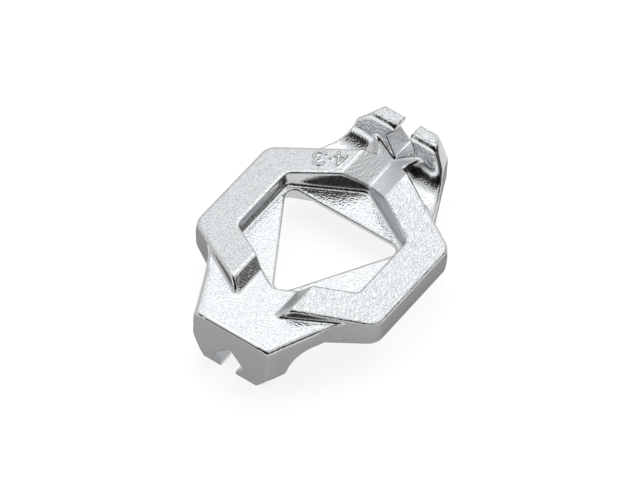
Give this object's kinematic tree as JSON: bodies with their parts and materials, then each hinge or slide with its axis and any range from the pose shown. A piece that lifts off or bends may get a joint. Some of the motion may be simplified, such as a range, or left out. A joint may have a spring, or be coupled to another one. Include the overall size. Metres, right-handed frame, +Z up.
{
  "type": "spoke wrench",
  "caption": "Chrome spoke wrench with a hexagonal finger ring, a thin web with a triangular window, and a slotted jaw head at each end, one opening up and one down.",
  "frame": {"origin": "middle of the body, on the parting plane and on the axis through both heads", "axes": "+X towards the head whose jaws open upwards, +Y across the flats of the ring, +Z up, square to the web"},
  "size_m": [0.056, 0.0402, 0.016],
  "materials": {
    "chrome": "satin chrome over a cast surface"
  },
  "bodies": {
    "root": {"wrench_body": "chrome"}
  },
  "joints": []
}
